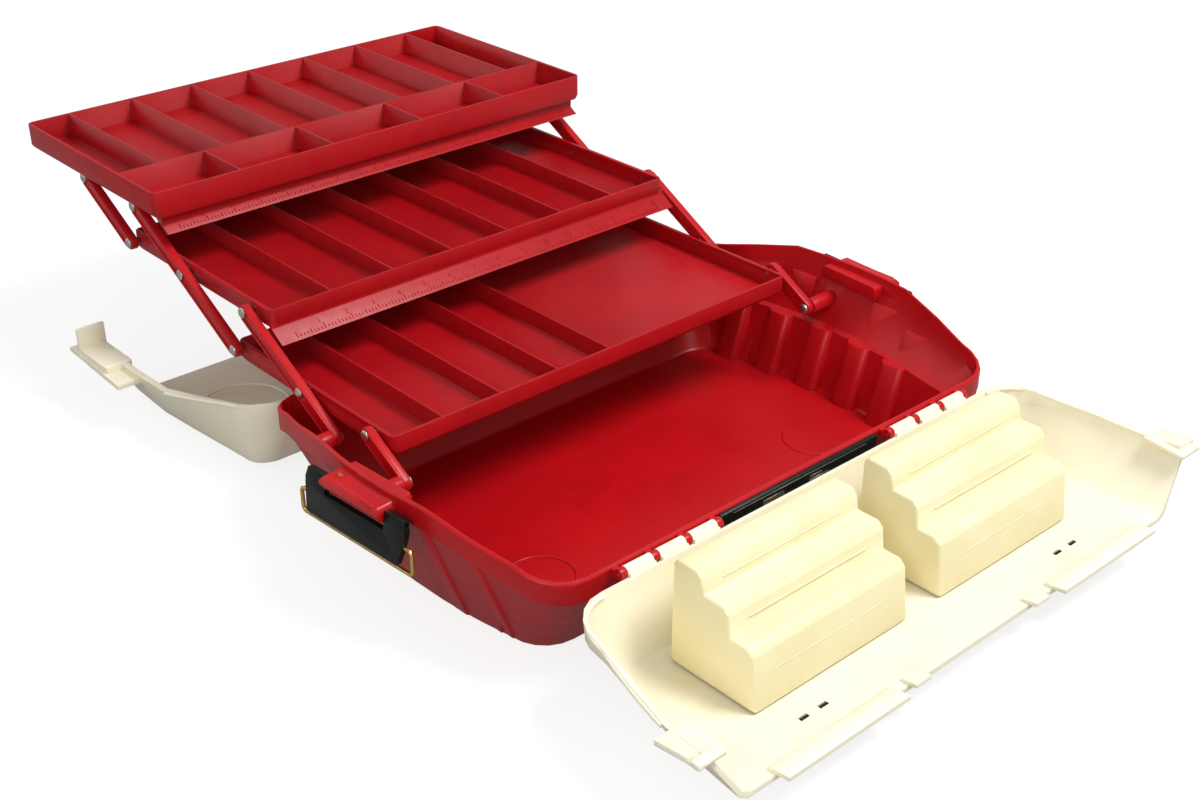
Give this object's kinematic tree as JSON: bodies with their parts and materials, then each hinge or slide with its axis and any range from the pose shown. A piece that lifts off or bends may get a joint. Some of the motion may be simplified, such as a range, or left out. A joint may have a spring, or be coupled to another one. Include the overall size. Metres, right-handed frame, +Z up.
{
  "type": "fishing tackle box",
  "caption": "Fishing tackle box standing open, with hinged front and rear lids, cantilever trays on folding links, stepped cases in the front lid and an end latch at each side.",
  "frame": {"origin": "middle of the flat underside of the base", "axes": "+X along the box's length, +Y towards the rear lid and the fanned-out trays, +Z up"},
  "size_m": [0.5518, 0.8841, 0.2056],
  "materials": {
    "red_polypropylene": "smooth glossy moulded plastic",
    "ivory_polypropylene": "satin moulded plastic",
    "cream_polypropylene": "satin, slightly see-through moulded plastic",
    "black_nylon": "satin",
    "brass_wire": "bright drawn wire",
    "zinc_steel": "zinc plated"
  },
  "bodies": {
    "box_base": {"base_tub": "red_polypropylene", "label_plate": "black_nylon", "front_hinge_pin_left": "zinc_steel", "front_hinge_pin_right": "zinc_steel", "rear_hinge_pin_left": "zinc_steel", "rear_hinge_pin_right": "zinc_steel", "latch_pin_left": "brass_wire", "latch_pin_right": "brass_wire", "short_front_link_rivet_1_left": "zinc_steel", "short_front_link_rivet_1_right": "zinc_steel", "long_front_link_rivet_1_left": "zinc_steel", "long_front_link_rivet_1_right": "zinc_steel"},
    "front_cover": {"front_lid": "ivory_polypropylene", "stepped_case_left": "cream_polypropylene", "stepped_case_right": "cream_polypropylene", "handle_bracket_left": "black_nylon", "handle_bracket_right": "black_nylon"},
    "rear_cover": {"rear_lid": "ivory_polypropylene"},
    "handle": {"carry_handle": "black_nylon"},
    "long_front_links": {"long_front_link_left": "red_polypropylene", "long_front_link_right": "red_polypropylene"},
    "short_front_links": {"short_front_link_left": "red_polypropylene", "short_front_link_right": "red_polypropylene"},
    "long_rear_links": {"long_rear_link_left": "red_polypropylene", "long_rear_link_right": "red_polypropylene"},
    "short_rear_links": {"short_rear_link_left": "red_polypropylene", "short_rear_link_right": "red_polypropylene"},
    "lower_tray_set": {"lower_tray": "red_polypropylene", "short_front_link_rivet_2_left": "zinc_steel", "short_front_link_rivet_2_right": "zinc_steel", "long_front_link_rivet_2_left": "zinc_steel", "long_front_link_rivet_2_right": "zinc_steel", "long_rear_link_rivet_1_left": "zinc_steel", "long_rear_link_rivet_1_right": "zinc_steel"},
    "middle_tray_set": {"middle_tray": "red_polypropylene", "long_front_link_rivet_3_left": "zinc_steel", "long_front_link_rivet_3_right": "zinc_steel", "long_rear_link_rivet_2_left": "zinc_steel", "long_rear_link_rivet_2_right": "zinc_steel", "short_rear_link_rivet_1_left": "zinc_steel", "short_rear_link_rivet_1_right": "zinc_steel"},
    "upper_tray_set": {"upper_tray": "red_polypropylene", "long_rear_link_rivet_3_left": "zinc_steel", "long_rear_link_rivet_3_right": "zinc_steel", "short_rear_link_rivet_2_left": "zinc_steel", "short_rear_link_rivet_2_right": "zinc_steel"},
    "left_latch_plate": {"latch_plate_left": "black_nylon"},
    "left_latch_wire": {"latch_wire_left": "brass_wire"},
    "right_latch_plate": {"latch_plate_right": "black_nylon"},
    "right_latch_wire": {"latch_wire_right": "brass_wire"}
  },
  "joints": [
    {"name": "tray_fold", "type": "hinge", "parent": "box_base", "child": "long_front_links", "pos_m": [0, 0.1, 0.076], "axis": [1, 0, 0], "range_deg": [0, 142]},
    {"name": "lower_tray_level", "type": "hinge", "parent": "long_front_links", "child": "lower_tray_set", "pos_m": [0, 0.14023, 0.0983], "axis": [-1, 0, 0], "range_deg": [0, 142]},
    {"name": "middle_tray_level", "type": "hinge", "parent": "long_front_links", "child": "middle_tray_set", "pos_m": [0, 0.21283, 0.13854], "axis": [-1, 0, 0], "range_deg": [0, 142]},
    {"name": "short_front_swing", "type": "hinge", "parent": "box_base", "child": "short_front_links", "pos_m": [0, 0.014, 0.076], "axis": [1, 0, 0], "range_deg": [0, 142]},
    {"name": "long_rear_swing", "type": "hinge", "parent": "lower_tray_set", "child": "long_rear_links", "pos_m": [0, 0.234, 0.0983], "axis": [1, 0, 0], "range_deg": [0, 142]},
    {"name": "upper_tray_level", "type": "hinge", "parent": "long_rear_links", "child": "upper_tray_set", "pos_m": [0, 0.37525, 0.1766], "axis": [-1, 0, 0], "range_deg": [0, 142]},
    {"name": "short_rear_swing", "type": "hinge", "parent": "middle_tray_set", "child": "short_rear_links", "pos_m": [0, 0.392, 0.13854], "axis": [1, 0, 0], "range_deg": [0, 142]},
    {"name": "front_lid_hinge", "type": "hinge", "parent": "box_base", "child": "front_cover", "pos_m": [0, -0.175, 0.081], "axis": [-1, 0, 0], "range_deg": [0, 172]},
    {"name": "rear_lid_hinge", "type": "hinge", "parent": "box_base", "child": "rear_cover", "pos_m": [0, 0.176, 0.077], "axis": [1, 0, 0], "range_deg": [0, 30]},
    {"name": "handle_pivot", "type": "hinge", "parent": "front_cover", "child": "handle", "pos_m": [0, -0.30612, 0.01297], "axis": [-1, 0, 0], "range_deg": [0, 95]},
    {"name": "left_latch_pivot", "type": "hinge", "parent": "box_base", "child": "left_latch_plate", "pos_m": [-0.264, -0.006, 0.096], "axis": [-0.0698, 0.9976, 0], "range_deg": [0, 125]},
    {"name": "left_wire_pivot", "type": "hinge", "parent": "left_latch_plate", "child": "left_latch_wire", "pos_m": [-0.26751, -0.00625, 0.08039], "axis": [-0.0698, 0.9976, 0], "range_deg": [-25, 100]},
    {"name": "right_latch_pivot", "type": "hinge", "parent": "box_base", "child": "right_latch_plate", "pos_m": [0.264, -0.006, 0.096], "axis": [-0.0698, -0.9976, 0], "range_deg": [0, 125]},
    {"name": "right_wire_pivot", "type": "hinge", "parent": "right_latch_plate", "child": "right_latch_wire", "pos_m": [0.26751, -0.00625, 0.08039], "axis": [-0.0698, -0.9976, 0], "range_deg": [-25, 100]}
  ],
  "couplings": [
    {"joint": "lower_tray_level", "follows": "tray_fold", "ratio": 1},
    {"joint": "middle_tray_level", "follows": "tray_fold", "ratio": 1},
    {"joint": "short_front_swing", "follows": "tray_fold", "ratio": 1},
    {"joint": "long_rear_swing", "follows": "tray_fold", "ratio": 1},
    {"joint": "upper_tray_level", "follows": "tray_fold", "ratio": 1},
    {"joint": "short_rear_swing", "follows": "tray_fold", "ratio": 1}
  ]
}
